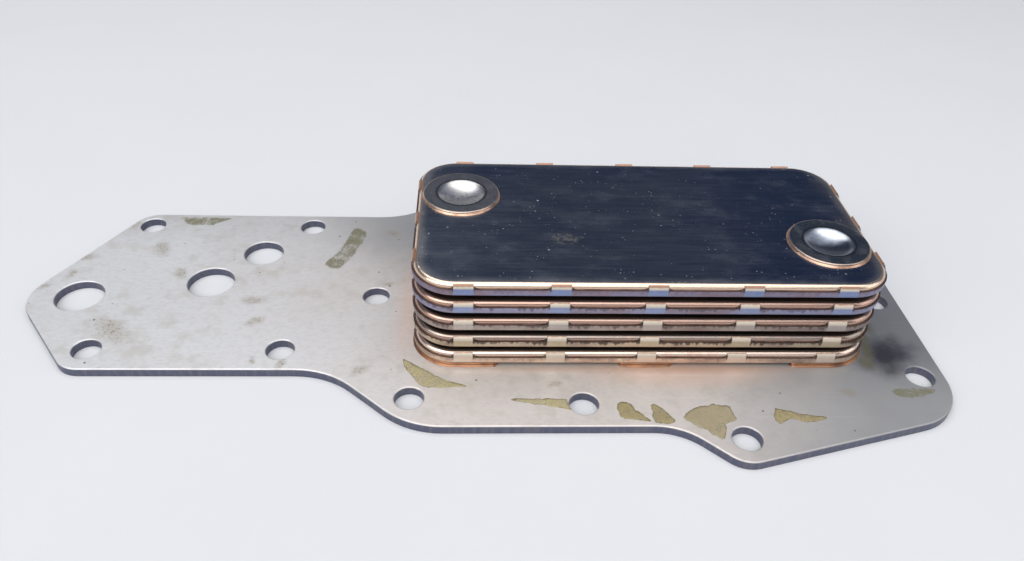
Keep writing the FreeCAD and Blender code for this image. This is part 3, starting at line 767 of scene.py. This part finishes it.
sealantLook = {
    "kinds": {
        "olive": {"film": (0.47, 0.41, 0.235), "edge": (0.30, 0.25, 0.12),
                  "cover": (0.35, 0.90), "outline": 0.55},
        "tan": {"film": (0.36, 0.305, 0.195), "edge": (0.27, 0.225, 0.135),
                "cover": (0.50, 0.94), "outline": 0.4},
        "moss": {"film": (0.345, 0.285, 0.15), "edge": (0.25, 0.205, 0.095),
                 "cover": (0.45, 0.92), "outline": 0.5},
        "faded": {"film": (0.27, 0.26, 0.17), "edge": (0.21, 0.19, 0.12),
                  "cover": (0.12, 0.50), "outline": 0.0},
    },
    "line": (0.13, 0.10, 0.05),      # dark line round a patch
    "step": 0.8,                     # spacing of the net of points inside a patch
    "outlineStep": 0.35,
    "border": 1.2,                   # width of the thin border
    "thickness": 0.05,
    "madeOf": {"crescent": "olive", "wedge": "olive", "left_blob": "moss", "right_blob": "moss",
               "broad": "tan", "hook": "moss", "right_edge": "faded", "back": "faded", "smear": "faded"},
    # corners of each patch on the plate, x and y in millimetres
    "patches": {
        "crescent": [(-23.2, -26.7), (-20.7, -28.1), (-15.8, -31.7), (-9.3, -36.2), (-3.7, -38.2),
                     (-3.1, -39.3), (-9.3, -39.5), (-15.4, -39.3), (-18.7, -36.2), (-21.4, -31.7)],
        "wedge": [(11.0, -44.9), (13.8, -44.3), (26.1, -44.5), (28.2, -45.2), (27.7, -47.1),
                  (28.7, -48.9), (25.2, -48.1), (16.7, -46.4)],
        "left_blob": [(43.7, -46.7), (46.8, -46.5), (49.9, -50.4), (52.4, -53.7), (47.1, -52.9),
                      (44.7, -52.9), (43.4, -51.2)],
        "right_blob": [(53.8, -47.1), (56.5, -47.9), (59.4, -52.1), (59.5, -54.5), (54.1, -54.5),
                       (53.9, -50.0)],
        "broad": [(63.3, -52.5), (65.5, -49.2), (70.5, -47.5), (77.4, -47.6), (78.3, -50.1),
                  (78.1, -53.4), (75.4, -55.4), (74.1, -59.7), (72.6, -60.9), (68.3, -57.4),
                  (64.9, -54.9)],
        "hook": [(91.4, -48.8), (93.6, -48.8), (96.5, -49.7), (102.2, -51.4), (106.6, -52.2),
                 (104.4, -53.8), (99.7, -54.2), (96.1, -52.9), (94.4, -53.6), (91.7, -55.0),
                 (90.6, -52.6)],
        "right_edge": [(131.5, -41.2), (135.5, -39.4), (140.0, -39.7), (147.4, -40.3), (145.0, -42.2),
                       (139.5, -44.3), (133.5, -43.8)],
        "back": [(-115.3, 54.8), (-95.3, 54.8), (-97.6, 51.6), (-103.0, 48.6), (-110.0, 49.2),
                 (-113.6, 52.7)],
        "smear": [(-55.0, 24.5), (-50.5, 34.0), (-46.8, 48.0), (-41.2, 44.5), (-42.8, 36.0),
                  (-46.0, 26.5), (-49.5, 21.5)],
    },
}


def makeSealantFilm(kind):
    f = Finish(f"sealant{kind.capitalize()}")
    look = sealantLook["kinds"][kind]
    cloud = f.grain(5.0, 5.0, seed=100)
    fine = f.grain(0.9, 4.0, seed=101)
    # 1 at the outline of a patch, 0 well inside
    rim = f.node("ShaderNodeAttribute", {"attribute_name": "rim"}, output="Fac")
    colour = f.blend(look["film"], look["edge"], f.fade(cloud, 0.42, 0.66) * 0.8)
    colour = f.blend(colour, look["edge"], f.fade(fine, 0.5, 0.7) * 0.5)
    broken = f.grain(2.6, 3.0, seed=103)
    line = f.fade(rim + (broken - 0.5) * 1.4, 0.70, 1.05) * look["outline"]
    colour = f.blend(colour, sealantLook["line"], line)
    thin, thick = look["cover"]
    cover = thin + f.fade(cloud + (fine - 0.5) * 0.5, 0.34, 0.56) * (thick - thin)
    if look["outline"] == 0.0:
        cover = cover * f.fade(rim, 1.0, 0.1)
    else:
        cover = cover.most(line)
    rough = 0.55 + (fine - 0.5) * 0.3
    return f.finish(colour, 0.0, rough, bump=fine, bumpDepth=0.03, alpha=cover)


def smoothLoop(corners, spacing):
    # a smooth closed curve through the corners
    loop = []
    count = len(corners)
    for k in range(count):
        before, start, end, after = [Vector((*corners[(k + step) % count], 0)) for step in (-1, 0, 1, 2)]
        pieces = max(3, int((end - start).length / spacing))
        for n in range(pieces):
            t = n / pieces
            loop.append(0.5 * ((2 * start) + (end - before) * t
                               + (2 * before - 5 * start + 4 * end - after) * t * t
                               + (3 * start - before - 3 * end + after) * t ** 3))
    return loop


def tearLoop(loop):
    middle = sum(loop, Vector()) / len(loop)
    torn = []
    for point in loop:
        away = (point - middle).normalized()
        pull = 0.4 * wander(point, 0.9, 4) + 0.6 * wander(point, 2.0, 6) + 0.6 * wander(point, 4.0, 5)
        torn.append((point + away * pull).xy)
    return torn


def isInside(point, outline):
    crossed = False
    for near, far in zip(outline, outline[1:] + outline[:1]):
        if (near.y > point.y) != (far.y > point.y):
            crossed ^= point.x < near.x + (far.x - near.x) * (point.y - near.y) / (far.y - near.y)
    return crossed


def toOutline(point, outline):
    return min((point - other).length for other in outline)


def netInside(outline, step):
    # a net of points inside, so that the film can thin out towards its outline
    net = []
    left, right = min(p.x for p in outline), max(p.x for p in outline)
    front, back = min(p.y for p in outline), max(p.y for p in outline)
    for row in range(int((back - front) / step) + 1):
        for place in range(int((right - left) / step) + 1):
            point = Vector((left + (place + 0.5 * (row % 2)) * step, front + row * step))
            if isInside(point, outline) and toOutline(point, outline) > 0.45 * step:
                net.append(point)
    return net


def makeSealant(name, corners, material):
    look = sealantLook
    outline = tearLoop(smoothLoop(corners, look["outlineStep"]))
    net = netInside(outline, look["step"])
    loop = list(range(len(outline)))
    points, _, faces, *_ = geometry.delaunay_2d_cdt(outline + net, [], [loop], 1, 0.0001)
    mesh = bmesh.new()
    rimLayer = mesh.verts.layers.float.new("rim")
    high, low = [], []
    for point in points:
        inward = min(1.0, toOutline(point, outline) / look["border"])
        up = look["thickness"] * (0.35 + 0.65 * inward + 0.25 * wander(point.to_3d(), 1.5, 7))
        high.append(mesh.verts.new((point.x * mm, point.y * mm, (plateTop + up) * mm)))
        low.append(mesh.verts.new((point.x * mm, point.y * mm, (plateTop + 0.004) * mm)))
        high[-1][rimLayer] = low[-1][rimLayer] = 1.0 - inward
    for face in faces:
        mesh.faces.new([high[k] for k in face])
    number = {vert: k for k, vert in enumerate(high)}
    border = [(number[edge.verts[0]], number[edge.verts[1]]) for edge in mesh.edges if edge.is_boundary]
    for face in faces:
        mesh.faces.new([low[k] for k in reversed(face)])
    for near, far in border:
        mesh.faces.new((high[near], high[far], low[far], low[near]))
    for vert in [vert for vert in mesh.verts if not vert.link_faces]:
        mesh.verts.remove(vert)
    newPiece(f"sealant_{name}", mesh, material)


sealantFilms = {kind: makeSealantFilm(kind) for kind in sealantLook["kinds"]}
for name, corners in sealantLook["patches"].items():
    makeSealant(name, corners, sealantFilms[sealantLook["madeOf"][name]])
print("sealant finished")


# Floor, light and camera

studio = {
    "floor": (0.62, 0.625, 0.63),
    "floorSize": 2.9,
    "floorRough": 0.75,
    "sun": {"heading": -25.0, "height": 52.0, "spread": 55.0, "strength": 1.05},
    "key": {"place": (-0.15, -1.15, 1.1), "size": (2.0, 1.0), "watts": 9.0},
    "top": {"place": (0.08, 0.10, 1.1), "size": (1.8, 0.8), "watts": 10.0},
    "left": {"place": (-0.95, -0.55, 0.75), "size": (0.8, 0.8), "watts": 5.5},
    "right": {"place": (1.15, -0.35, 0.6), "size": (0.8, 0.8), "watts": 3.0},
    "aim": (0.02, 0.0, 0.02),
    "skyLow": (0.82, 0.83, 0.86),
    "skyHigh": (0.055, 0.078, 0.15),
    "skyFade": (0.10, 0.36),                     # from the low colour to the high one
    "skyStrength": 0.8,
    "lens": 29.263,
    "cameraPlace": (-2.67, -224.57, 186.17),     # mm
    "cameraTurns": (-3.887, 52.688, 2.76),       # heading, tilt up from straight down, roll
}


def makeFloor():
    mesh = bmesh.new()
    bmesh.ops.create_circle(mesh, cap_ends=True, segments=96, radius=studio["floorSize"] / 2)
    data = bpy.data.meshes.new("floor")
    mesh.to_mesh(data)
    mesh.free()
    floor = addObject("floor", data)
    f = Finish("palePaper")
    cloud = f.grain(60.0, 4.0, seed=120)
    shade = [c * 0.96 for c in studio["floor"]]
    dress(floor, f.finish(f.blend(studio["floor"], shade, cloud), 0.0, studio["floorRough"]))


def makeLight(name, setup):
    light = bpy.data.lights.new(name, "AREA")
    light.shape = "RECTANGLE"
    light.size, light.size_y = setup["size"]
    light.energy = setup["watts"]
    lamp = addObject(name, light)
    lamp.location = setup["place"]
    aim = Vector(studio["aim"]) - lamp.location
    lamp.rotation_euler = aim.to_track_quat("-Z", "Y").to_euler()


def makeSun():
    setup = studio["sun"]
    light = bpy.data.lights.new("softSun", "SUN")
    light.energy = setup["strength"]
    light.angle = math.radians(setup["spread"])
    lamp = addObject("softSun", light)
    heading, height = math.radians(setup["heading"]), math.radians(setup["height"])
    level = math.cos(height)
    back = Vector((math.sin(heading) * level, -math.cos(heading) * level, math.sin(height)))
    lamp.rotation_euler = (-back).to_track_quat("-Z", "Y").to_euler()


def makeSky():
    world = bpy.data.worlds.new("studioSky")
    sky = Nodes(world)
    facing = sky.node("ShaderNodeTexCoord", output="Generated")
    up = sky.node("ShaderNodeSeparateXYZ", None, {0: facing}, "Z")
    colour = sky.blend(studio["skyLow"], studio["skyHigh"], sky.fade(up, *studio["skyFade"]))
    shine = sky.node("ShaderNodeBackground", None, {"Color": colour, "Strength": studio["skyStrength"]})
    sky.node("ShaderNodeOutputWorld", None, {"Surface": shine})
    bpy.context.scene.world = world


def makeCamera():
    heading, tilt, roll = [math.radians(turn) for turn in studio["cameraTurns"]]
    data = bpy.data.cameras.new("camera")
    data.lens = studio["lens"]
    data.sensor_fit = "HORIZONTAL"
    data.sensor_width = 36.0
    data.clip_start = 0.01
    data.clip_end = 20.0
    camera = addObject("camera", data)
    turned = Matrix.Rotation(heading, 4, "Z") @ Matrix.Rotation(tilt, 4, "X") @ Matrix.Rotation(roll, 4, "Z")
    camera.matrix_world = Matrix.Translation(Vector(studio["cameraPlace"]) * mm) @ turned
    bpy.context.scene.camera = camera


makeFloor()
for name in ("key", "top", "left", "right"):
    makeLight(f"{name}Light", studio[name])
makeSun()
makeSky()
makeCamera()
bpy.context.scene.view_settings.view_transform = "Standard"
print("studio finished")
